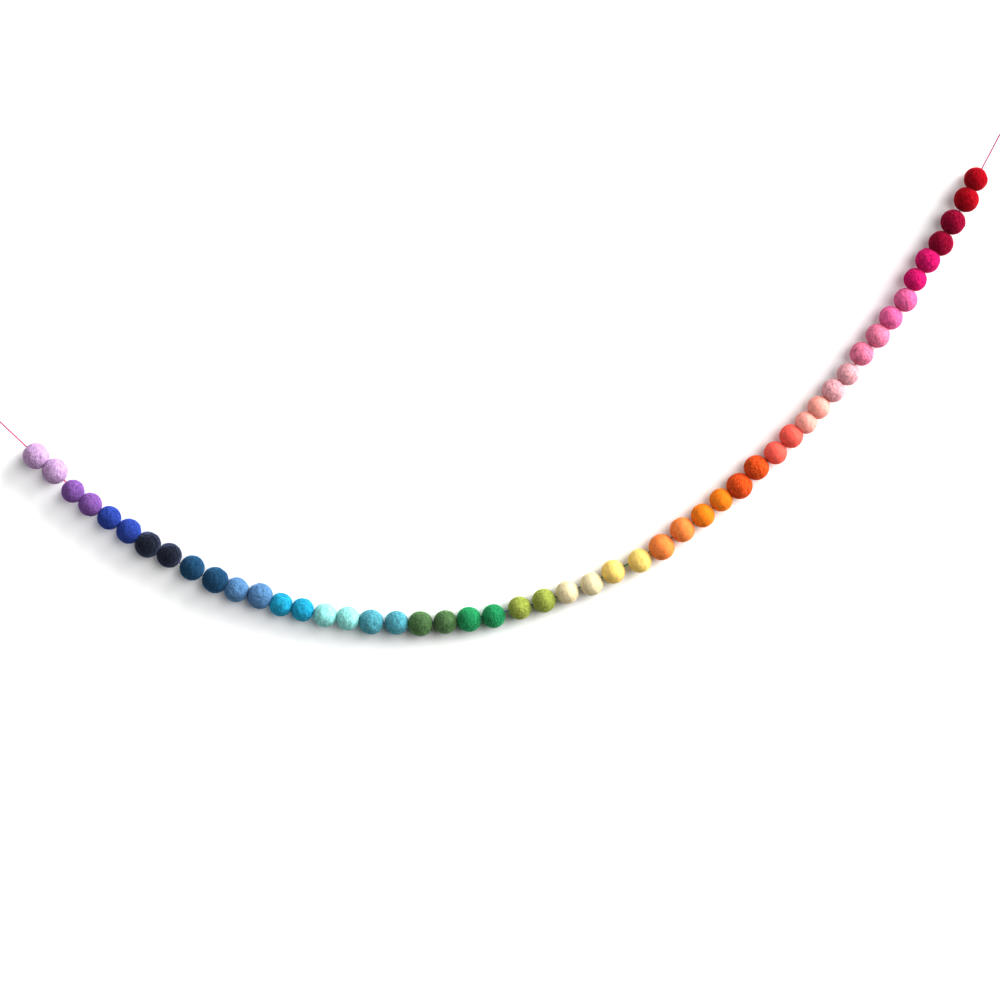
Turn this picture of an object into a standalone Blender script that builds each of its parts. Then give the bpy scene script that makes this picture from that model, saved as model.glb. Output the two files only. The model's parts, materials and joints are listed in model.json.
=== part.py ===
"""Felt ball garland: fifty wool felt balls on one thread, hung by a tied loop at each end.

Metres, +Z up. The string hangs in the X-Z plane: +X runs along it from the lilac end to the red end,
and +Y points away from the viewer. The origin is where the higher, right-hand loop hangs.
Each solid keeps 0.3 mm from its neighbours.
"""

from collections import namedtuple
from math import asinh, cos, hypot, pi, radians, sin

import bmesh
import bpy
from mathutils import Matrix, Vector

MM = 0.001
TOUCH_GAP = 0.3 * MM  # between solids that touch

# A string of equal weight hangs in a catenary. SLACK is its radius of curvature at the lowest point.
# A place on it is given by the length of string from the lowest point, negative to the left.
SLACK = 351 * MM
FIRST_BALL = -340.5 * MM  # the lilac end's first ball

# One row for each colour: the two balls' diameters, the gap inside the pair and the gap to the next
# pair, all along the string, and how far each ball hangs below the thread because its needle hole is
# off centre. A gap below zero is how much two balls press into each other. Millimetres.
Pair = namedtuple("Pair", "name wool sizes gaps drops")
PAIRS = (
    Pair("lilac", (0.61, 0.42, 0.65), (21.5, 21.0), (-1.5, 2.0), (1.0, -0.5)),
    Pair("purple", (0.28, 0.14, 0.41), (19.0, 19.5), (-1.5, -0.5), (2.0, 1.5)),
    Pair("royal_blue", (0.049, 0.097, 0.39), (19.5, 20.5), (-0.5, -2.0), (0.5, 0.0)),
    Pair("navy", (0.021, 0.026, 0.043), (21.5, 20.5), (-1.5, 1.0), (0.5, -1.0)),
    Pair("petrol", (0.026, 0.096, 0.18), (20.5, 21.5), (0.5, -2.0), (-1.0, -0.5)),
    Pair("periwinkle", (0.14, 0.29, 0.49), (20.5, 21.5), (-1.0, -2.0), (0.0, -2.0)),
    Pair("turquoise", (0.025, 0.41, 0.6), (19.5, 19.0), (-1.0, 0.0), (-0.5, -1.0)),
    Pair("mint", (0.4, 0.86, 0.81), (19.5, 19.5), (-0.5, -1.0), (-0.5, -1.0)),
    Pair("teal", (0.13, 0.42, 0.49), (20.5, 19.5), (1.0, -0.5), (0.0, -0.5)),
    Pair("olive", (0.11, 0.21, 0.089), (20.5, 19.5), (0.5, -0.5), (0.5, 0.5)),
    Pair("emerald", (0.03, 0.34, 0.14), (20.5, 19.5), (0.5, 3.0), (0.5, 1.5)),
    Pair("lime", (0.42, 0.48, 0.12), (19.0, 19.5), (1.5, 1.0), (0.0, 0.0)),
    Pair("cream", (0.79, 0.69, 0.46), (19.0, 19.0), (2.0, 1.0), (0.0, 1.5)),
    Pair("yellow", (0.92, 0.69, 0.24), (19.5, 19.5), (4.0, 0.5), (0.0, 2.5)),
    Pair("light_orange", (0.93, 0.32, 0.1), (21.5, 20.5), (1.0, 0.5), (2.0, -0.5)),
    Pair("amber", (0.91, 0.29, 0.031), (19.5, 19.0), (0.5, -1.5), (0.0, -1.0)),
    Pair("red_orange", (0.81, 0.14, 0.029), (21.5, 20.5), (-0.5, 0.0), (0.0, -2.0)),
    Pair("coral", (0.93, 0.18, 0.14), (19.0, 19.5), (-0.5, -2.5), (0.0, -0.5)),
    Pair("peach", (0.93, 0.44, 0.38), (18.5, 19.0), (-2.5, -1.0), (0.5, 0.0)),
    Pair("dusty_pink", (0.91, 0.49, 0.53), (19.5, 18.5), (-1.0, 1.0), (0.0, 0.5)),
    Pair("rose", (0.93, 0.29, 0.44), (19.5, 20.0), (0.0, -1.5), (-1.0, 0.5)),
    Pair("orchid", (0.9, 0.2, 0.43), (19.5, 19.5), (-0.5, -1.0), (0.5, 2.0)),
    Pair("magenta", (0.68, 0.019, 0.2), (19.0, 20.5), (-1.0, -3.0), (-1.0, -1.0)),
    Pair("burgundy", (0.31, 0.003, 0.047), (20.5, 20.5), (-0.5, 1.0), (0.5, 0.0)),
    Pair("red", (0.41, 0.003, 0.018), (20.5, 19.5), (-1.5, 0.0), (0.0, -1.5)),
)

THREAD_RADIUS = 0.5 * MM
HOLE_RADIUS = 0.95 * MM  # the needle hole, with the thread loose in it
TAIL_LEFT = 42 * MM  # bare thread between the end ball and the knot
TAIL_RIGHT = 44 * MM
TAIL_LEFT_RISE = radians(43.2)  # how steeply each tail climbs to its nail
TAIL_RIGHT_RISE = radians(62.2)
KNOT_LENGTH = 4.6 * MM
KNOT_RADIUS = 1.7 * MM
LOOP_LENGTH = 26 * MM  # from the middle of the knot
LOOP_WIDTH = 11 * MM
LOOP_LEGS = 0.6 * MM  # half the distance between the loop's two legs in the knot
TEAR_BELLY = 0.77  # the most that sin(t) sin(t / 2) reaches, at the loop's widest place

# How finely the solids are faceted.
THREAD_ROUNDNESS = 2
HOLE_ROUNDNESS = 1
LOOP_STEPS = 16
BALL_SEGMENTS = 10
BALL_RINGS = 6
KNOT_SEGMENTS = 8
KNOT_RINGS = 6

THREAD_PINK = (0.70, 0.16, 0.39)
WOOL_ROUGHNESS = 0.95
THREAD_ROUGHNESS = 0.7

Ball = namedtuple("Ball", "name colour wool place radius drop")


def hang(place):
    """The point of the catenary at this length of string from its lowest point."""
    return Vector((SLACK * asinh(place / SLACK), 0, hypot(SLACK, place) - SLACK))


def heading(place):
    """The string's direction there, towards the red end."""
    return Vector((SLACK, 0, place)).normalized()


def below_string(along):
    """The direction straight below a string that runs along, in the plane it hangs in."""
    return Vector((along.z, 0, -along.x))


def string_balls():
    """The balls in order. Each one's place follows from the diameters and gaps before it."""
    balls, place, reach = [], FIRST_BALL, 0
    for pair in PAIRS:
        for size, gap, drop in zip(pair.sizes, pair.gaps, pair.drops):
            radius = size * MM / 2
            if balls:
                place += reach + radius
            name = f"ball_{len(balls) + 1:02d}_{pair.name}"
            balls.append(Ball(name, pair.name, pair.wool, place, radius, drop * MM))
            reach = radius + gap * MM
    return balls


def contacts_of(balls):
    """The places halfway between neighbouring balls, with the outer sides of the first and the last."""
    between = [
        (one.place + one.radius + two.place - two.radius) / 2
        for one, two in zip(balls, balls[1:])
    ]
    return [balls[0].place - balls[0].radius, *between, balls[-1].place + balls[-1].radius]


def new_collection(name):
    made = bpy.data.collections.new(name)
    bpy.context.scene.collection.children.link(made)
    return made


def material(name, colour, roughness):
    made = bpy.data.materials.new(name)
    made.use_nodes = True
    shader = made.node_tree.nodes["Principled BSDF"]
    shader.inputs["Base Color"].default_value = (*colour, 1)
    shader.inputs["Roughness"].default_value = roughness
    shader.inputs["Metallic"].default_value = 0
    return made


def to_object(name, shape, collection):
    """The bmesh as a smooth-shaded object."""
    mesh = bpy.data.meshes.new(name)
    shape.to_mesh(mesh)
    shape.free()
    mesh.shade_smooth()
    made = bpy.data.objects.new(name, mesh)
    collection.objects.link(made)
    return made


def tube(name, route, radius, roundness, collection):
    """A tube along the route with closed ends, as a mesh. It has 4 sides, and 2 more for each roundness."""
    curve = bpy.data.curves.new(name, "CURVE")
    curve.dimensions = "3D"
    curve.bevel_depth = radius
    curve.bevel_resolution = roundness
    curve.use_fill_caps = True
    spline = curve.splines.new("POLY")
    spline.points.add(len(route) - 1)
    for point, place in zip(spline.points, route):
        point.co = (*place, 1)
    guide = bpy.data.objects.new(name + "_guide", curve)
    collection.objects.link(guide)
    bpy.context.view_layer.update()
    graph = bpy.context.evaluated_depsgraph_get()
    mesh = bpy.data.meshes.new_from_object(guide.evaluated_get(graph))
    shape = bmesh.new()
    shape.from_mesh(mesh)
    shape.transform(guide.matrix_world)
    bmesh.ops.remove_doubles(shape, verts=shape.verts, dist=0.01 * MM)
    bpy.data.objects.remove(guide)
    bpy.data.meshes.remove(mesh)
    return to_object(name, shape, collection)


def frame_at(centre, along):
    """A local frame on the string: Z along it, X below it, Y away from the viewer."""
    frame = Matrix((below_string(along), (0, 1, 0), along)).transposed().to_4x4()
    frame.translation = centre
    return frame


def press_flat(shape, place, outwards):
    """Moves what reaches past the contact plane back onto it, as felt is squeezed by its neighbour."""
    for vert in shape.verts:
        past = (vert.co - place).dot(outwards)
        if past > 0:
            vert.co -= outwards * past


def felt_ball(ball, before, after, origin, collection):
    """A round ball about the thread between two contacts, pressed flat at both."""
    start, end = hang(before), hang(after)
    along = (end - start).normalized()
    centre = start + along * (hang(ball.place) - start).dot(along) + below_string(along) * ball.drop
    shape = bmesh.new()
    bmesh.ops.create_uvsphere(
        shape,
        u_segments=BALL_SEGMENTS,
        v_segments=BALL_RINGS,
        radius=ball.radius,
        matrix=frame_at(centre, along),
    )
    for contact, way in ((before, -heading(before)), (after, heading(after))):
        press_flat(shape, hang(contact) - way * TOUCH_GAP / 2, way)
    shape.transform(Matrix.Translation(-origin))
    made = to_object(ball.name, shape, collection)
    made.data.materials.append(material("felt_" + ball.colour, ball.wool, WOOL_ROUGHNESS))
    return made


def pierce(ball, way):
    """The needle hole, cut by the shared route of the needle."""
    hole = ball.modifiers.new("needle_hole", "BOOLEAN")
    hole.operation = "DIFFERENCE"
    hole.solver = "EXACT"
    hole.object = way


def tear(turn):
    """The loop's tear shape over one turn: how far out of the knot, and how far to the side."""
    out = LOOP_LENGTH * (1 - cos(turn)) / 2
    belly = LOOP_WIDTH / 2 * sin(turn) * sin(turn / 2) / TEAR_BELLY
    return out, belly + LOOP_LEGS * cos(turn / 2)


def hanging_loop(name, end, along, collection, cutters):
    """A knot that faces the thread's end, and the tear-shaped loop that comes out of it."""
    side = below_string(along)
    middle = end + along * (TOUCH_GAP + KNOT_LENGTH / 2)
    route = []
    for step in range(LOOP_STEPS + 1):
        out, wide = tear(2 * pi * step / LOOP_STEPS)
        route.append(middle + along * out + side * wide)
    strand = tube(name + "_strand", route, THREAD_RADIUS, THREAD_ROUNDNESS, cutters)
    strand.hide_render = True
    strand.display_type = "WIRE"
    shape = bmesh.new()
    stretch = Matrix.Diagonal((KNOT_RADIUS, KNOT_RADIUS, KNOT_LENGTH / 2, 1))
    bmesh.ops.create_uvsphere(
        shape,
        u_segments=KNOT_SEGMENTS,
        v_segments=KNOT_RINGS,
        radius=1,
        matrix=frame_at(middle, along) @ stretch,
    )
    knot = to_object(name, shape, collection)
    join = knot.modifiers.new("loop_strand", "BOOLEAN")
    join.operation = "UNION"
    join.solver = "EXACT"
    join.object = strand
    knot.data.materials.append(material("thread_" + name, THREAD_PINK, THREAD_ROUGHNESS))
    return knot


def build():
    for old in list(bpy.data.objects):
        bpy.data.objects.remove(old)
    garland = new_collection("felt_ball_garland")
    cutters = new_collection("cutters")

    balls = string_balls()
    contacts = contacts_of(balls)
    route = [hang(place) for place in contacts]
    # The thread leaves each end ball at its middle.
    route[0] += below_string(heading(contacts[0])) * balls[0].drop
    route[-1] += below_string(heading(contacts[-1])) * balls[-1].drop
    left_way = Vector((-cos(TAIL_LEFT_RISE), 0, sin(TAIL_LEFT_RISE)))
    right_way = Vector((cos(TAIL_RIGHT_RISE), 0, sin(TAIL_RIGHT_RISE)))
    route = [route[0] + left_way * TAIL_LEFT, *route, route[-1] + right_way * TAIL_RIGHT]
    origin = route[-1] + right_way * (TOUCH_GAP + KNOT_LENGTH / 2 + LOOP_LENGTH)
    route = [point - origin for point in route]
    thread = tube("thread", route, THREAD_RADIUS, THREAD_ROUNDNESS, garland)
    thread.data.materials.append(material("thread", THREAD_PINK, THREAD_ROUGHNESS))
    needle_way = tube("needle_way", route, HOLE_RADIUS, HOLE_ROUNDNESS, cutters)
    needle_way.hide_render = True
    needle_way.display_type = "WIRE"

    for ball, before, after in zip(balls, contacts, contacts[1:]):
        pierce(felt_ball(ball, before, after, origin, garland), needle_way)
    hanging_loop("loop_left", route[0], left_way, garland, cutters)
    hanging_loop("loop_right", route[-1], right_way, garland, cutters)
    cutters.hide_render = True


build()
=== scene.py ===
# %% [markdown]
# # Felt ball garland
#
# Fifty balls of felted wool hang on one thin thread, two of each colour, from lilac through blue, green,
# yellow and orange to red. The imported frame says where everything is: each ball's solid, the thread that
# runs through them, and a tied hanging loop at each end. This file gives them their looks.
#
# Everything is in metres. The string hangs in the X-Z plane and the viewer looks along +Y.

# %% Load the frame
import json
from math import cos, pi, radians, sin

import bpy
import numpy as np
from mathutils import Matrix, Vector


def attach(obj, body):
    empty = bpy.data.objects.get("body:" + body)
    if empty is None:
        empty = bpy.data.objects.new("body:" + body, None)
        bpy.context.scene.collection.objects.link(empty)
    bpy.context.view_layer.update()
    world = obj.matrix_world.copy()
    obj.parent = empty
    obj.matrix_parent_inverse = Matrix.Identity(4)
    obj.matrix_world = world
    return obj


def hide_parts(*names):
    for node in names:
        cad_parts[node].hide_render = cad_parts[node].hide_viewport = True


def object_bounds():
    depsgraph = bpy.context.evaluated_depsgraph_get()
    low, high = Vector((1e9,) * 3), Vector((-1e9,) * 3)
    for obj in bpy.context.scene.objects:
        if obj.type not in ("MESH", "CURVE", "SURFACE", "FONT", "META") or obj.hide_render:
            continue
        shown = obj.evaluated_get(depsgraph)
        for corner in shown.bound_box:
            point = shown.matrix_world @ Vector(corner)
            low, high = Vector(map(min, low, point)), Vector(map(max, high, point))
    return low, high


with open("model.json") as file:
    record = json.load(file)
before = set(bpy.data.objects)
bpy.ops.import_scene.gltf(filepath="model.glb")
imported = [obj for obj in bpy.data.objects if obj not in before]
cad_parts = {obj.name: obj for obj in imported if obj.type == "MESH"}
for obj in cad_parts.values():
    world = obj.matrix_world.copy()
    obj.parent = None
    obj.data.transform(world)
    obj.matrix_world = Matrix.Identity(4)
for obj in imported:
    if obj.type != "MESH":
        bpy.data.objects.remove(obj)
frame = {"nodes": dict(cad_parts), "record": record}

cad_low, cad_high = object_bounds()
MM = 0.001  # a millimetre in metres

for name in ("Cube", "Light", "Camera"):
    if name in bpy.data.objects:
        bpy.data.objects.remove(bpy.data.objects[name])
print("frame holds", len(frame["nodes"]), "solids")

# %% [markdown]
# ## Where the string runs
#
# The solids already hold the string's shape, so nothing is measured twice. The thread's solid is a chain
# of eight-sided rings, one at each place where two balls meet. The string always runs to the right, so
# its corners sorted along X fall into those rings, eight at a time, and each ring's mean is a point that
# the thread goes through.

# %% Read the thread's route from its solid
THREAD_SIDES = 8
THREAD_RADIUS = 0.5 * MM


def corners_of(node):
    """The solid's own corners, each one once, as rows of x, y, z."""
    mesh = frame["nodes"][node].data
    corners = np.empty(len(mesh.vertices) * 3, np.float32)
    mesh.vertices.foreach_get("co", corners)
    return np.unique(np.round(corners.reshape(-1, 3).astype(float), 6), axis=0)


rings = corners_of("thread")
rings = rings[np.argsort(rings[:, 0])].reshape(-1, THREAD_SIDES, 3)
route = rings.mean(axis=1)
contacts = route[1:-1]  # the places between balls, with the outer sides of the end balls
print("the thread bends at", len(contacts), "contacts")

# %% [markdown]
# ## Where each ball sits
#
# A ball's solid has corners straight behind its middle, as far back as its radius. The corner that is
# furthest from the viewer therefore gives both the ball's centre and its size.

# %% Read the balls from their solids
ball_nodes = sorted(node for node in frame["nodes"] if node.startswith("ball_"))
slot_of = {part["node"]: part["material_slot"] for part in frame["record"]["subparts"]}
wool_of = {m["slot"]: m["base_color"] for m in frame["record"]["materials"]}


def centre_and_radius(node):
    """The middle of a ball in the string's plane, and half its thickness."""
    corners = corners_of(node)
    back = corners[np.argmax(corners[:, 1])]
    return np.array([back[0], 0.0, back[2]]), back[1]


print("balls:", len(ball_nodes), "from", ball_nodes[0], "to", ball_nodes[-1])

# %% [markdown]
# ## One helper for every surface
#
# All the new pieces are surfaces worked out with numpy: rows of points on a grid. This helper turns such
# a grid into faces. The rows close round on themselves, as on a tube or a ball, and each open end is
# closed with a fan of triangles about one point. The faces are wound so that they look outwards when the
# rows go round anticlockwise, seen from the far end.

# %% Grids
def tube_faces(rows, around):
    """Four corners for each face: a point and its neighbour round the row, and both on the next row."""
    row = np.arange(rows - 1)[:, None] * around
    here = np.arange(around)[None, :]
    there = (here + 1) % around
    faces = np.stack([row + here, row + there, row + around + there, row + around + here], axis=-1)
    return faces.reshape(-1, 4)


def fan_faces(row_start, around, tip, flip):
    """Three corners for each face of an end: two neighbours on the row, and the tip."""
    here = np.arange(around)
    there = (here + 1) % around
    first, second = (there, here) if flip else (here, there)
    return np.stack([row_start + first, row_start + second, np.full(around, tip)], axis=-1)


def closed_tube(points, first_tip, last_tip):
    """Points and faces of a tube whose ends run together in two tips."""
    rows, around = points.shape[:2]
    count = rows * around
    every = np.concatenate([points.reshape(-1, 3), [first_tip, last_tip]])
    faces = [
        tube_faces(rows, around),
        fan_faces(0, around, count, True),
        fan_faces(count - around, around, count + 1, False),
    ]
    return every, faces


# %% Objects
def make_piece(name, points, faces, smooth=True):
    """A mesh object from an array of points and a list of face arrays. It stays at the origin."""
    mesh = bpy.data.meshes.new(name)
    mesh.from_pydata(points.tolist(), [], [face for part in faces for face in part.tolist()])
    mesh.validate()
    if smooth:
        mesh.shade_smooth()
    piece = bpy.data.objects.new(name, mesh)
    bpy.context.scene.collection.objects.link(piece)
    return piece


def add_attribute(piece, name, values):
    """One number for each point, for a material to read."""
    layer = piece.data.attributes.new(name, "FLOAT", "POINT")
    layer.data.foreach_set("value", values.astype(np.float32))


print("a tube of 3 rows of 4 points has", len(tube_faces(3, 4)), "side faces")

# %% [markdown]
# ## The shape of a felt ball
#
# A felt ball is rolled by hand from wet wool. It is nearly round, with soft flats where it was pressed,
# a few shallow creases where the wool was wrapped, and small pits. Sculpting fifty of them would be slow
# and a displacement texture would leave the mesh a plain sphere, so the surface is a formula: a sphere,
# less some soft flats, less creases and pits, plus gentle lumps. Each ball has its own seed.
#
# These helpers give a number for each direction from the ball's middle. Depths and widths are shares of
# the ball's radius, and a pair of them is the least and the most.

# %% Lumps and flats
FLATS = 7
FLAT_DEPTHS = 0.010, 0.045
FLAT_RIM = 0.012


def unit(vectors):
    """Each vector divided by its own length."""
    return vectors / np.linalg.norm(vectors, axis=-1, keepdims=True)


def ripples(places, rng, count, low, high):
    """A smooth random field of about -1 to 1: a mean of sine waves in random directions.

    low and high are the least and the most turns of a wave, in radians for each radius."""
    ways = unit(rng.normal(size=(count, 3))) * rng.uniform(low, high, (count, 1))
    starts = rng.uniform(0, 2 * pi, count)
    return np.sin(places @ ways.T + starts).mean(axis=-1) * count**0.5 / 1.5


def soft_clamp(past, softness):
    """How far to push back what is past a plane: none before it, all of it after, with a rounded change."""
    return softness * np.logaddexp(0, past / softness)


def flats(normals, rng):
    """Soft flats: the sum of what some planes near the surface cut off the sphere."""
    cut = np.zeros(len(normals))
    for way, depth in zip(unit(rng.normal(size=(FLATS, 3))), rng.uniform(*FLAT_DEPTHS, FLATS)):
        cut += soft_clamp(normals @ way - (1 - depth), FLAT_RIM)
    return cut


print("each ball has", FLATS, "soft flats")

# %% Creases and pits
CREASE_WIDTHS = 0.05, 0.11
CREASE_WAVER = 0.10
PIT_SIZES = 0.035, 0.08


def creases(normals, rng, count):
    """Wrap marks from 0 to 1: narrow bands along wavering circles, each fading out round the ball."""
    marks = np.zeros(len(normals))
    waver = CREASE_WAVER * ripples(normals, rng, 6, 2.0, 4.5)
    for way, fade in zip(unit(rng.normal(size=(count, 3))), unit(rng.normal(size=(count, 3)))):
        shift = rng.uniform(-0.6, 0.6)
        width = rng.uniform(*CREASE_WIDTHS)
        band = np.exp(-(((normals @ way - shift + waver) / width) ** 2))
        marks = np.maximum(marks, band * np.clip(normals @ fade + 0.35, 0, 1))
    return marks


def pits(normals, rng, count):
    """Small dimples from 0 to 1, round and scattered: the largest of some bell curves."""
    marks = np.zeros(len(normals))
    for way in unit(rng.normal(size=(count, 3))):
        size = rng.uniform(*PIT_SIZES)
        marks = np.maximum(marks, np.exp(-(((normals - way) ** 2).sum(axis=-1)) / size**2))
    return marks


print("pits are", *(round(10 * size, 2) for size in PIT_SIZES), "mm across a half, on a 10 mm radius")

# %% [markdown]
# ## Rolling one ball
#
# The skin is a grid of rows round the thread. Its two poles lie on the thread, so that the needle hole's
# dimple falls on closely spaced rows. A line from a point on the thread meets the sphere somewhere, and
# that place is moved in or out by the marks. Then each neighbour presses a flat into the felt. The marks
# fade out about the thread, because the balls have to keep their full size where they meet.

# %% The grid round the thread
AROUND = 80
ROWS = 42
CROWDING = 0.35  # how much closer the rows lie at the needle holes


def ways_round(along):
    """Directions row by row. The tilt from the thread runs over a half turn, less a sine that crowds its
    ends, and in each row the turn about the thread runs once round."""
    side = np.array([along[2], 0.0, -along[0]])
    deep = np.array([0.0, 1.0, 0.0])
    turn = np.linspace(0, 2 * pi, AROUND, endpoint=False)
    share = np.arange(ROWS + 2) / (ROWS + 1)
    tilt = pi * share - CROWDING * np.sin(2 * pi * share) / 2
    round_ways = np.outer(np.cos(turn), side) + np.outer(np.sin(turn), deep)
    ways = np.cos(tilt)[:, None, None] * -along + np.sin(tilt)[:, None, None] * round_ways
    return ways.reshape(-1, 3)


PRESS_RIM = 0.08 * MM


def press(points, place, outwards):
    """Pushes the skin back to a neighbour's contact plane, with a rounded rim."""
    past = (points - place) @ outwards
    return points - np.outer(soft_clamp(past, PRESS_RIM), outwards)


print("a ball's grid has", ROWS, "rows of", AROUND, "points, and a tip at each needle hole")

# %% One felt ball
LUMPS = (  # height, then the number of waves and their least and most turns
    (0.014, 6, 1.5, 3.0),
    (0.006, 12, 5.0, 10.0),
    (0.003, 24, 16.0, 30.0),
)
CREASE_DEPTH = 0.016
PIT_DEPTH = 0.022
FULL_SIZE_WIDTH = 3.5 * MM  # about the thread, where the balls meet
HOLE_WIDTH = 1.0 * MM
HOLE_DEPTH = 1.3 * MM


def felt_ball(centre, radius, before, after, press_ways, rng):
    """The skin's points, row by row about the thread, its two tips, and how deep each point lies in a
    crease, pit or needle hole, which sets its painted shade.

    The height of a point is the lumps less the flats, the creases and the pits."""
    along = unit(after - before)
    middle = before + along * ((centre - before) @ along)
    ways = ways_round(along)

    # From a point on the thread, the distance to the sphere in each direction.
    lean = ways @ (centre - middle)
    reach = lean + np.sqrt(lean**2 + radius**2 - ((centre - middle) ** 2).sum())
    points = middle + ways * reach[:, None]
    normals = unit(points - centre)

    crease = creases(normals, rng, rng.integers(3, 6))
    pit = pits(normals, rng, rng.integers(8, 16))
    height = sum(size * ripples(normals, rng, *waves) for size, *waves in LUMPS)
    height -= flats(normals, rng) + CREASE_DEPTH * crease + PIT_DEPTH * pit
    from_thread = points - middle - np.outer((points - middle) @ along, along)
    off_axis = np.linalg.norm(from_thread, axis=-1)
    height *= 1 - 0.8 * np.exp(-((off_axis / FULL_SIZE_WIDTH) ** 2))
    points = points + normals * (radius * height)[:, None]

    dimple = np.exp(-((off_axis / HOLE_WIDTH) ** 2))
    points -= np.outer(np.sign((points - middle) @ along) * dimple * HOLE_DEPTH, along)
    for place, way in zip((before, after), press_ways):
        points = press(points, place, way)

    # How deep each point lies in a crease, pit or needle hole: the felt's colour is darkened there with
    # painted shade.
    hollow_shade = np.clip(0.5 * crease + 0.7 * pit + dimple, 0, 1)
    points = points.reshape(ROWS + 2, AROUND, 3)
    hollow_shade = hollow_shade.reshape(ROWS + 2, AROUND)
    tips = points[0].mean(axis=0), points[-1].mean(axis=0)
    inner = hollow_shade[1:-1].ravel()
    return points[1:-1], tips, np.concatenate([inner, [hollow_shade[0, 0], hollow_shade[-1, 0]]])


print("creases are", round(10 * CREASE_DEPTH, 2), "mm and pits", round(10 * PIT_DEPTH, 2), "mm deep")

# %% [markdown]
# ## Fuzz
#
# Loose fibres stand a little off the felt. Hair particles would do it, but particles don't end up in the
# mesh. Here each fibre is a thin three-sided prism on its own small arc, and all of one ball's fibres are
# one array joined to its skin: a row of points along each arc, and three corners about each point.

# %% Growing the fuzz
FIBRES = 240
FIBRE_STEPS = 4
FIBRE_SIDES = 3
FIBRE_RADIUS = 0.028 * MM
FIBRE_LENGTHS = 0.5, 1.7  # millimetres
FIBRE_HEIGHTS = 0.12, 0.55
ROOT_DEPTH = 0.05 * MM


def fuzz(points, centre, rng):
    """Points and faces of a ball's loose fibres, rooted at random points of its skin.

    A fibre leaves the skin at its root, rises as a sine over its length and leans along the skin."""
    skin = points.reshape(-1, 3)
    # Rows crowd near the poles, so roots are drawn by the row's width to spread them evenly.
    width = np.linalg.norm(points - points.mean(axis=1, keepdims=True), axis=-1).ravel()
    roots = skin[rng.choice(len(skin), FIBRES, p=width / width.sum())]
    up = unit(roots - centre)
    lean = unit(np.cross(up, rng.normal(size=(FIBRES, 3))))
    long = rng.uniform(*FIBRE_LENGTHS, (FIBRES, 1, 1)) * MM
    high = rng.uniform(*FIBRE_HEIGHTS, (FIBRES, 1, 1)) * MM
    bend = rng.uniform(0.45, 1.0, (FIBRES, 1, 1)) * pi
    step = np.linspace(0, 1, FIBRE_STEPS)[None, :, None]
    line = roots[:, None] - up[:, None] * ROOT_DEPTH
    line = line + lean[:, None] * long * step + up[:, None] * high * np.sin(bend * step)
    across = np.cross(up, lean)
    corner = 2 * pi * np.arange(FIBRE_SIDES) / FIBRE_SIDES
    thin = FIBRE_RADIUS * (1.0 - 0.6 * step[..., None])
    ring = np.cos(corner)[:, None] * up[:, None, None] + np.sin(corner)[:, None] * across[:, None, None]
    every = (line[:, :, None] + ring * thin).reshape(-1, 3)
    side = tube_faces(FIBRE_STEPS, FIBRE_SIDES)[:, ::-1]
    each = FIBRE_SIDES * FIBRE_STEPS
    ends = np.array([[0, 1, 2], [each - 1, each - 2, each - 3]])
    first = (np.arange(FIBRES) * each)[:, None, None]
    return every, [(side + first).reshape(-1, 4), (ends + first).reshape(-1, 3)]


print("each ball grows", FIBRES, "fibres")

# %% [markdown]
# ## The felt finish
#
# Wool felt is matt. Light grazing it catches the fuzz, so the shader has a sheen lobe and almost no gloss.
# The dye takes unevenly, so the colour drifts a little over millimetres and paler fibres fleck it. The
# creases, pits and needle holes are darkened with painted shade. The grain is a bump of very fine, swirled
# noise. Some of the wools are finer and look smoother, and some have brighter fibres with a soft highlight.
# One function makes the finish for each colour, and the patterns read Object coordinates, so that no ball
# repeats another.

# %% Helpers for every finish
def tint(colour, share):
    """The colour made darker or lighter by a share, kept below white."""
    return tuple(min(0.93, channel * share) for channel in colour[:3]) + (1.0,)


def new_node(tree, kind, **inputs):
    """A shader node with some of its inputs set. An input that is given a socket is linked to it."""
    node = tree.nodes.new(kind)
    for name, value in inputs.items():
        socket = node.inputs[name.replace("_", " ")]
        if isinstance(value, bpy.types.NodeSocket):
            tree.links.new(value, socket)
        else:
            socket.default_value = value
    return node


def mix_colours(tree, share, first, second):
    """A blend from the first colour to the second. Each may be a colour or a socket."""
    mix = tree.nodes.new("ShaderNodeMix")
    mix.data_type = "RGBA"
    tree.links.new(share, mix.inputs[0])
    for socket, value in ((mix.inputs[6], first), (mix.inputs[7], second)):
        if isinstance(value, bpy.types.NodeSocket):
            tree.links.new(value, socket)
        else:
            socket.default_value = value
    return mix.outputs[2]


def ramp(tree, factor, low, high, to_low=0.0, to_high=1.0):
    """The factor stretched so that low becomes to_low and high becomes to_high, cut off outside."""
    node = new_node(tree, "ShaderNodeMapRange", Value=factor)
    node.inputs["From Min"].default_value = low
    node.inputs["From Max"].default_value = high
    node.inputs["To Min"].default_value = to_low
    node.inputs["To Max"].default_value = to_high
    return node.outputs["Result"]


def noise(tree, where, scale, detail, roughness, distortion=0.0):
    node = new_node(tree, "ShaderNodeTexNoise", Vector=where, Scale=scale, Detail=detail)
    node.inputs["Roughness"].default_value = roughness
    node.inputs["Distortion"].default_value = distortion
    return node.outputs["Fac"]


def bump(tree, height, strength, distance, normal=None):
    node = new_node(tree, "ShaderNodeBump", Height=height, Strength=strength, Distance=distance)
    if normal:
        tree.links.new(normal, node.inputs["Normal"])
    return node.outputs["Normal"]


print("a half tint of white is", tint((1, 1, 1), 0.5))

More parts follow.
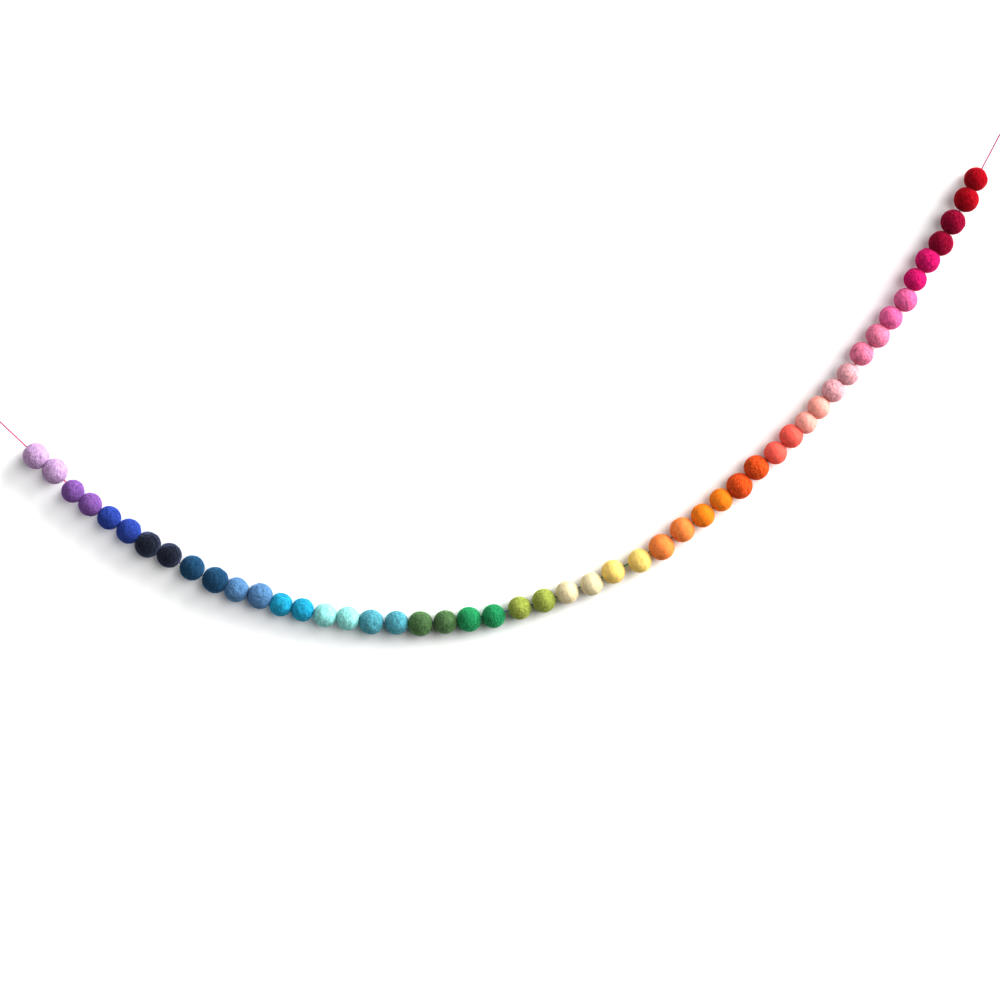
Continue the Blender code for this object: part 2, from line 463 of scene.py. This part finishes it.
# %% Three kinds of wool
SMOOTH = (  # finer wool, with hardly a fleck
    "felt_cream",
    "felt_yellow",
    "felt_light_orange",
    "felt_amber",
    "felt_coral",
    "felt_peach",
)
SATIN = (  # brighter fibres, which catch a soft highlight
    "felt_periwinkle",
    "felt_turquoise",
    "felt_mint",
    "felt_teal",
    "felt_olive",
    "felt_emerald",
    "felt_dusty_pink",
    "felt_rose",
    "felt_orchid",
)
print(len(SMOOTH), "dyes are on smooth wool and", len(SATIN), "on satin wool; the others are plain")

# %% Colour and skin of felt
# How dark the painted shade in the creases, pits and needle holes is, as a share of the dye.
HOLLOW_SHADE_TINT = 0.6
CLUMP_TINT = 0.62


def felt_colour(tree, wool, drift, clumps, swirls, strands, smooth, satin):
    """The felt's colour: the dye's slow drift, then dark swirls, pale strands and dark clumps, each laid
    over the last as far as its own noise says, and last a painted shade that darkens the creases, pits and
    needle holes by how deep they lie."""
    fleck = 0.35 if smooth else 1.0
    hollow_shade = tree.nodes.new("ShaderNodeAttribute")
    hollow_shade.attribute_name = "hollow_shade"
    lighter = min(1.42 if satin else 1.25, 0.97 / max(wool))
    pale = [lighter * channel + 0.02 for channel in wool]
    layers = (
        (ramp(tree, swirls, 0.40, 0.65, 0.0, 0.65 * fleck), tint(wool, 0.58 if satin else 0.68)),
        (ramp(tree, strands, 0.46, 0.70, 0.0, 0.8 * fleck), tint(pale, 1.0)),
        (ramp(tree, clumps, 0.5, 0.3, 0.0, 0.8 * fleck), tint(wool, CLUMP_TINT)),
        # Painted shade: the creases, pits and needle holes are darkened by how deep they lie.
        (ramp(tree, hollow_shade.outputs["Fac"], 0.0, 1.0, 0.0, 0.35), tint(wool, HOLLOW_SHADE_TINT)),
    )
    colour = mix_colours(tree, ramp(tree, drift, 0.3, 0.7), tint(wool, 0.88), tint(wool, 1.08))
    for share, over in layers:
        colour = mix_colours(tree, share, colour, over)
    return colour


def felt_skin(tree, swirls, clumps, strands, grain, smooth):
    """Bumps laid one over another, from the coarse swirls to the fine grain."""
    rough = 0.5 if smooth else 1.0
    skin = bump(tree, swirls, rough, 0.8 * MM)
    skin = bump(tree, clumps, rough, 1.2 * MM, skin)
    skin = bump(tree, strands, 0.8 * rough, 0.4 * MM, skin)
    return bump(tree, grain, 0.5, 0.2 * MM, skin)


# %% Felt material
SATIN_GLOSS, MATT_GLOSS = 0.15, 0.06
SATIN_ROUGHNESS, MATT_ROUGHNESS = 0.7, 0.95


def felt_finish(name, wool, lay):
    """Wool felt in one dye. lay is the angle at which its fibres mostly lie, in radians."""
    smooth, satin = name in SMOOTH, name in SATIN
    depth = 0.92 if smooth else 0.84  # the fuzz pales a dye, so the wool under it is a little deeper
    wool = [depth * channel for channel in wool[:3]]
    made = bpy.data.materials.new(name)
    made.use_nodes = True
    tree = made.node_tree
    shader = tree.nodes["Principled BSDF"]
    where = tree.nodes.new("ShaderNodeTexCoord").outputs["Object"]
    laid = new_node(tree, "ShaderNodeMapping", Vector=where, Rotation=(lay, 0.7 * lay, 1.9 * lay))
    laid.inputs["Scale"].default_value = (1.0, 1.0, 0.3)

    drift = noise(tree, where, 230.0, 3.0, 0.55)
    clumps = noise(tree, where, 470.0, 2.0, 0.5, 0.3)
    swirls = noise(tree, laid.outputs["Vector"], 420.0, 1.0, 0.5, 0.5)
    strands = noise(tree, laid.outputs["Vector"], 1050.0, 3.0, 0.6, 1.2)
    grain = noise(tree, where, 3000.0, 4.0, 0.65, 2.5)
    colour = felt_colour(tree, wool, drift, clumps, swirls, strands, smooth, satin)
    tree.links.new(colour, shader.inputs["Base Color"])
    skin = felt_skin(tree, swirls, clumps, strands, grain, smooth)
    tree.links.new(skin, shader.inputs["Normal"])

    shader.inputs["Roughness"].default_value = SATIN_ROUGHNESS if satin else MATT_ROUGHNESS
    shader.inputs["Specular IOR Level"].default_value = SATIN_GLOSS if satin else MATT_GLOSS
    shader.inputs["Sheen Weight"].default_value = 0.5
    shader.inputs["Sheen Roughness"].default_value = 0.45
    fuzz_colour = [0.08 + 0.85 * channel / max(wool) for channel in wool]
    shader.inputs["Sheen Tint"].default_value = tint(fuzz_colour, 1.0)
    return made


dyes = [slot for slot in sorted(wool_of) if slot.startswith("felt_")]
wools = {slot: felt_finish(slot, wool_of[slot], 0.9 * number) for number, slot in enumerate(dyes)}
print("felt dyes:", len(wools))

# %% [markdown]
# ## All the balls
#
# Each ball replaces its own solid. The wool is the same on the two balls of a pair, and each takes its
# finish from the record's slot.

# %% Make the balls
FIRST_SEED = 100
tangents = unit(np.gradient(contacts, axis=0))
faces_made = 0
for number, node in enumerate(ball_nodes):
    rng = np.random.default_rng(FIRST_SEED + number)
    centre, radius = centre_and_radius(node)
    before, after = contacts[number], contacts[number + 1]
    press_ways = -tangents[number], tangents[number + 1]
    skin, tips, hollow_shade = felt_ball(centre, radius, before, after, press_ways, rng)
    points, faces = closed_tube(skin, *tips)
    fibre_points, fibre_faces = fuzz(skin, centre, rng)
    faces += [part + len(points) for part in fibre_faces]
    piece = make_piece(node.replace("ball_", "wool_ball_"), np.concatenate([points, fibre_points]), faces)
    # The painted shade of the creases, pits and needle holes, for the felt finish to read.
    add_attribute(piece, "hollow_shade", np.concatenate([hollow_shade, np.zeros(len(fibre_points))]))
    piece.data.materials.append(wools[slot_of[node]])
    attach(piece, "root")
    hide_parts(node)
    faces_made += len(piece.data.polygons)
print("balls made, with", faces_made, "faces")

# %% [markdown]
# ## The thread
#
# The thread is three thin strands twisted together, and its dye changes colour along its length. It is a
# tube whose outline has three lobes that turn as they go: at each step along the route, the distance from
# the middle to the skin is a constant plus a cosine of three times the angle. The outline is carried along
# the route, and its twist follows the length, so the lobes wind round as real strands do.

# %% Spin the thread
STRANDS = 3
TWIST_LENGTH = 3.2 * MM  # one full turn of a strand
STRAND_DEPTH = 0.13  # of the radius, between the strands
SPUN_RADIUS = 1.12 * THREAD_RADIUS  # over the crowns of the strands
RING_STEP = 0.45 * MM


def evenly_along(corners, step):
    """Points a step apart along a line of corners, with the length at each point."""
    lengths = np.concatenate([[0], np.cumsum(np.linalg.norm(np.diff(corners, axis=0), axis=1))])
    at = np.linspace(0, lengths[-1], int(round(lengths[-1] / step)) + 1)
    return np.stack([np.interp(at, lengths, corners[:, k]) for k in range(3)], axis=1), at


def strand_tube(line, at, radius, across, around=15):
    """A twisted, three-lobed tube along a line. across gives one sideways direction for each point."""
    ahead = unit(np.gradient(line, axis=0))
    across = unit(across - (across * ahead).sum(axis=1, keepdims=True) * ahead)
    third = np.cross(ahead, across)
    angle = np.linspace(0, 2 * pi, around, endpoint=False)
    lobes = 1 - STRAND_DEPTH * (1 - np.cos(STRANDS * (angle - 2 * pi * at[:, None] / TWIST_LENGTH)))
    ways = np.cos(angle)[:, None] * across[:, None] + np.sin(angle)[:, None] * third[:, None]
    return line[:, None] + ways * (radius * lobes)[..., None]


def add_length_map(piece, around, at):
    """A UV map for a tube: U is the length along it in metres, V goes once round it."""
    number = np.empty(len(piece.data.loops), np.int32)
    piece.data.loops.foreach_get("vertex_index", number)
    row = np.clip(number // around, 0, len(at) - 1)
    uv = np.stack([at[row], (number % around) / around], axis=1)
    layer = piece.data.uv_layers.new(name="length")
    layer.data.foreach_set("uv", uv.astype(np.float32).ravel())


# %% The whole thread
INTO_KNOT = 1.6 * MM  # how far the thread runs on past its solid, into each knot
first_way = unit(route[0] - route[1])
last_way = unit(route[-1] - route[-2])
strung = route.copy()
strung[0] += first_way * INTO_KNOT
strung[-1] += last_way * INTO_KNOT
line, thread_at = evenly_along(strung, RING_STEP)
across = np.tile([0.0, 1.0, 0.0], (len(line), 1))
skin = strand_tube(line, thread_at, SPUN_RADIUS, across)
points, faces = closed_tube(skin, line[0], line[-1])
thread = make_piece("spun_thread", points, faces)
add_length_map(thread, skin.shape[1], thread_at)
print("thread is", round(thread_at[-1], 3), "m long, with", len(thread.data.polygons), "faces")

# %% [markdown]
# ## The thread's dye
#
# The thread was dyed in stretches, so one thread shows pink at both ends, blue and green further along.
# The colour is a ramp along its length, read from the UV map. A fine noise makes some fibres paler and some
# darker, and roughens the surface with a bump.

# %% Thread material
DYED_LENGTH = 1.1
DYES = (  # metres from the left end, colour
    (0.00, (0.46, 0.012, 0.17)),
    (0.08, (0.70, 0.03, 0.20)),
    (0.20, (0.30, 0.07, 0.40)),
    (0.34, (0.05, 0.12, 0.42)),
    (0.48, (0.03, 0.20, 0.33)),
    (0.52, (0.03, 0.17, 0.11)),
    (0.59, (0.08, 0.33, 0.14)),
    (0.63, (0.04, 0.17, 0.09)),
    (0.70, (0.42, 0.36, 0.08)),
    (0.82, (0.70, 0.16, 0.12)),
    (0.92, (0.30, 0.008, 0.11)),
)


def thread_finish(name):
    """Thread whose dye changes along the length map, with paler and darker fibres."""
    made = bpy.data.materials.new(name)
    made.use_nodes = True
    tree = made.node_tree
    shader = tree.nodes["Principled BSDF"]
    length = tree.nodes.new("ShaderNodeUVMap")
    length.uv_map = "length"
    split = new_node(tree, "ShaderNodeSeparateXYZ", Vector=length.outputs["UV"])

    share = ramp(tree, split.outputs["X"], 0.0, DYED_LENGTH)
    dye = new_node(tree, "ShaderNodeValToRGB", Fac=share)
    stops = dye.color_ramp.elements
    stops.remove(stops[1])
    stops[0].position = 0.0
    stops[0].color = (*DYES[0][1], 1)
    for place, colour in DYES[1:]:
        stops.new(place / DYED_LENGTH).color = (*colour, 1)

    fibre = noise(tree, tree.nodes.new("ShaderNodeTexCoord").outputs["Object"], 2400.0, 3.0, 0.7)
    shade = new_node(tree, "ShaderNodeHueSaturation", Color=dye.outputs["Color"])
    tree.links.new(ramp(tree, fibre, 0.2, 0.8, 0.75, 1.25), shade.inputs["Value"])
    tree.links.new(shade.outputs["Color"], shader.inputs["Base Color"])
    tree.links.new(bump(tree, fibre, 0.4, 0.1 * MM), shader.inputs["Normal"])
    shader.inputs["Roughness"].default_value = 0.7
    shader.inputs["Specular IOR Level"].default_value = 0.2
    shader.inputs["Sheen Weight"].default_value = 0.05
    return made


thread_dye = thread_finish("dyed_thread")
thread.data.materials.append(thread_dye)
print("the dye changes over", len(DYES), "places")

# %% [markdown]
# ## The tied loops
#
# At each end the thread is doubled back into a loop and tied with an overhand knot. The knot is the
# simplest real knot: a line that winds twice round a ring while it passes over and under itself three
# times. The same twisted tube carries along that line, along the tear-shaped loop, and along the short
# cut end that is left over.

# %% Tie the loops
KNOT_LENGTH = 4.6 * MM
KNOT_RADIUS = 1.7 * MM
LOOP_LENGTH = 26 * MM
LOOP_WIDTH = 11 * MM
LOOP_LEGS = 0.6 * MM
TEAR_BELLY = 0.77  # the most that sin(t) sin(t / 2) reaches
TOUCH_GAP = 0.3 * MM
CUT_END = 7 * MM
LOOP_THREAD_RADIUS = 1.05 * THREAD_RADIUS


def tear_line(turn):
    """The loop's line: out of the knot and back, widest past its middle."""
    out = LOOP_LENGTH * (1 - np.cos(turn)) / 2
    belly = LOOP_WIDTH / 2 * np.sin(turn) * np.sin(turn / 2) / TEAR_BELLY
    return out, belly + LOOP_LEGS * np.cos(turn / 2), np.zeros_like(turn)


def knot_line(turn):
    """An overhand knot pulled tight: twice round, with three crossings, longer than it is wide."""
    wide = (KNOT_RADIUS - THREAD_RADIUS) / 3
    out = np.sin(turn) + 2 * np.sin(2 * turn)
    side = np.cos(turn) - 2 * np.cos(2 * turn)
    long = (KNOT_LENGTH / 2 - THREAD_RADIUS) / 3
    return long * out, wide * side, -1.6 * wide * np.sin(3 * turn)


def cut_line(turn):
    """The short end: a slack curl that leaves the knot to one side."""
    return 0.3 * CUT_END * turn, 0.9 * CUT_END * turn, 0.25 * CUT_END * np.sin(2 * turn)


# %% Both loops
def tie_loop(name, end, ahead):
    """All three lines placed at one end of the thread, as one piece of the same thread."""
    below = np.array([ahead[2], 0.0, -ahead[0]])
    middle = end + ahead * (TOUCH_GAP + KNOT_LENGTH / 2)
    every, faces, lengths, count = [], [], [], 0
    for line_of, last, step in ((tear_line, 2 * pi, 150), (knot_line, 2 * pi, 130), (cut_line, 1.0, 36)):
        out, side, deep = line_of(np.linspace(0, last, step))
        corners = middle + np.outer(out, ahead) + np.outer(side, below)
        corners[:, 1] += deep
        line, at = evenly_along(corners, 0.3 * MM)
        across = np.cross(np.gradient(line, axis=0), line - middle + np.array([0, 1e-6, 0]))
        if line_of is tear_line:
            across = np.tile([0.0, 1.0, 0.0], (len(line), 1))
        skin = strand_tube(line, at, LOOP_THREAD_RADIUS, across, around=12)
        points, part = closed_tube(skin, line[0], line[-1])
        faces += [face + count for face in part]
        count += len(points)
        every.append(points)
        lengths.append(at)
    piece = make_piece(name, np.concatenate(every), faces)
    print(name, "ties", round(1000 * sum(length[-1] for length in lengths)), "mm of thread")
    return piece


loops = {
    "loop_left": tie_loop("tied_loop_left", route[0], first_way),
    "loop_right": tie_loop("tied_loop_right", route[-1], last_way),
}
for node, piece in loops.items():
    dyed_as = 0.0 if node == "loop_left" else 1.05  # the same dye as the thread's end there
    layer = piece.data.uv_layers.new(name="length")
    layer.data.foreach_set("uv", np.tile([dyed_as, 0.0], len(piece.data.loops)))
    piece.data.materials.append(thread_dye)
    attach(piece, "root")
    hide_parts(node)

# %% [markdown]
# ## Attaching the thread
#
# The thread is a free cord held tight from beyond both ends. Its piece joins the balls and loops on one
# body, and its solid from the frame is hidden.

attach(thread, "root")
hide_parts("thread")
print("the cord leaves at", [round(x, 4) for x in route[0]])

# %% [markdown]
# ## Wall, floor and light
#
# The garland hangs just clear of a plain white wall, above a pale floor. Both show only their front: seen
# from behind they are clear, so the object can be looked at from every side. A floor this close would
# throw light up at the string and flatten it, where a real one is far below, so it is left out of the
# bounced light.

# %% Stage
WALL_GAP = 0.6 * MM
wall_y = cad_high.y + WALL_GAP
floor_z = cad_low.z - 0.40


def stage_finish(name, colour):
    """Matt paint on the front of a surface, nothing on its back."""
    made = bpy.data.materials.new(name)
    made.use_nodes = True
    tree = made.node_tree
    shader = tree.nodes["Principled BSDF"]
    where = tree.nodes.new("ShaderNodeTexCoord").outputs["Object"]
    patches = ramp(tree, noise(tree, where, 3.0, 3.0, 0.5), 0.3, 0.7)
    roller = noise(tree, where, 450.0, 3.0, 0.6)
    paint = mix_colours(tree, patches, tint(colour, 0.985), tint(colour, 1.0))
    tree.links.new(paint, shader.inputs["Base Color"])
    tree.links.new(bump(tree, roller, 0.15, 0.3 * MM), shader.inputs["Normal"])
    shader.inputs["Roughness"].default_value = 0.9
    shader.inputs["Specular IOR Level"].default_value = 0.1
    clear = tree.nodes.new("ShaderNodeBsdfTransparent")
    facing = tree.nodes.new("ShaderNodeNewGeometry")
    mix = new_node(tree, "ShaderNodeMixShader", Fac=facing.outputs["Backfacing"])
    tree.links.new(shader.outputs["BSDF"], mix.inputs[1])
    tree.links.new(clear.outputs["BSDF"], mix.inputs[2])
    tree.links.new(mix.outputs["Shader"], tree.nodes["Material Output"].inputs["Surface"])
    return made


def stage_plane(name, corners, colour):
    piece = make_piece(name, np.array(corners), [np.array([[0, 1, 2, 3]])], smooth=False)
    piece.data.materials.append(stage_finish(name + "_paint", colour))
    return piece


middle_x = (cad_low.x + cad_high.x) / 2
HALF_WALL = 3.0
left, right = middle_x - HALF_WALL, middle_x + HALF_WALL
front = wall_y - 4.5
stage_plane(
    "wall",
    [(left, wall_y, floor_z), (right, wall_y, floor_z), (right, wall_y, 2.2), (left, wall_y, 2.2)],
    (0.93, 0.93, 0.93),
)
floor = stage_plane(
    "floor",
    [(left, front, floor_z), (right, front, floor_z), (right, wall_y, floor_z), (left, wall_y, floor_z)],
    (0.80, 0.79, 0.78),
)
floor.visible_diffuse = False  # it throws no light back up
print("the wall is", round(2 * HALF_WALL, 1), "m wide")

# %% [markdown]
# ## The lights
#
# Soft daylight comes from windows on the right. The strongest part skims along the wall from the upper
# right: it gives each ball a bright side, a dark side and a shadow close beside it. A softer part from in
# front keeps the wall white, and a weak one from the left opens the dark sides. A white card close to the
# right-hand end lights the red balls from the side, as the window frame's edge does in a real room.
#
# A direction is given as the angle round the wall, anticlockwise from the right, and the angle away from
# the viewer's line of sight.

# %% Daylight
def daylight(name, turn, lean, strength, width):
    """A wide, soft and distant light. Its angles are in degrees, and width is the size of its disc."""
    data = bpy.data.lights.new(name, "SUN")
    data.energy = strength
    data.angle = radians(width)
    turn, lean = radians(turn), radians(lean)
    to_light = Vector((sin(lean) * cos(turn), -cos(lean), sin(lean) * sin(turn)))
    light = bpy.data.objects.new(name, data)
    light.location = 3 * to_light
    light.rotation_euler = to_light.to_track_quat("Z", "Y").to_euler()
    bpy.context.scene.collection.objects.link(light)


daylight("window", turn=31, lean=73, strength=5.8, width=45)
daylight("room", turn=20, lean=30, strength=2.1, width=45)
daylight("left_fill", turn=170, lean=48, strength=1.45, width=60)

# %% The side card
CARD_PLACE = Vector((cad_high.x + 0.42, wall_y - 0.20, -0.22))
CARD_AIM = Vector((-0.12, 0.0, -0.15))
card_data = bpy.data.lights.new("side_card", "AREA")
card_data.energy = 1.3
card_data.size = 0.3
card = bpy.data.objects.new("side_card", card_data)
card.location = CARD_PLACE
card.rotation_euler = (CARD_PLACE - CARD_AIM).to_track_quat("Z", "Y").to_euler()
card.visible_camera = False
bpy.context.scene.collection.objects.link(card)
print("a card of", card_data.size, "m stands", round(CARD_PLACE.x - cad_high.x, 2), "m past the right end")

# %% [markdown]
# The sky gives hardly any light, because light from all round would flatten the balls. Where nothing else
# stands behind the object, the viewer still sees it as a plain pale backdrop.

# %% The sky
world = bpy.data.worlds.new("sky")
world.use_nodes = True
sky = world.node_tree
glow = sky.nodes["Background"]
glow.inputs["Color"].default_value = (1, 1, 1, 1)
glow.inputs["Strength"].default_value = 0.06
backdrop = new_node(sky, "ShaderNodeBackground", Color=(0.86, 0.86, 0.86, 1), Strength=1.0)
seen = sky.nodes.new("ShaderNodeLightPath").outputs["Is Camera Ray"]
both = new_node(sky, "ShaderNodeMixShader", Fac=seen)
sky.links.new(glow.outputs["Background"], both.inputs[1])
sky.links.new(backdrop.outputs["Background"], both.inputs[2])
sky.links.new(both.outputs["Shader"], sky.nodes["World Output"].inputs["Surface"])
bpy.context.scene.world = world
print("the sky gives", round(glow.inputs["Strength"].default_value, 2), "and shows as pale grey")

# %% [markdown]
# The tones are bright: the white wall is just burnt out, and a slight contrast keeps the dyes deep.

# %% Tones
view = bpy.context.scene.view_settings
view.view_transform = "Standard"
view.gamma = 0.75
print("tones:", view.view_transform, "with gamma", round(view.gamma, 2))

# %% [markdown]
# ## Camera
#
# A long lens straight in front keeps the string's true curve. The view is a little narrower than the
# garland: both ends of the thread leave it before their loops.

# %% Camera
VIEW_WIDTH = 0.82
VIEW_CENTRE = Vector((-0.4289, 0, -0.3358))
CAMERA_DISTANCE = 2.6
SENSOR = 36.0
camera_data = bpy.data.cameras.new("camera")
camera_data.sensor_width = SENSOR
camera_data.lens = SENSOR * CAMERA_DISTANCE / VIEW_WIDTH
camera = bpy.data.objects.new("camera", camera_data)
camera.location = VIEW_CENTRE - Vector((0, CAMERA_DISTANCE, 0))
camera.rotation_euler = (radians(90), 0, 0)
bpy.context.scene.collection.objects.link(camera)
bpy.context.scene.camera = camera
print("the lens is", round(camera_data.lens, 1), "mm long")

# %% Sizes, and the end
print("CAD box", [round(x, 4) for x in (*cad_low, *cad_high)])
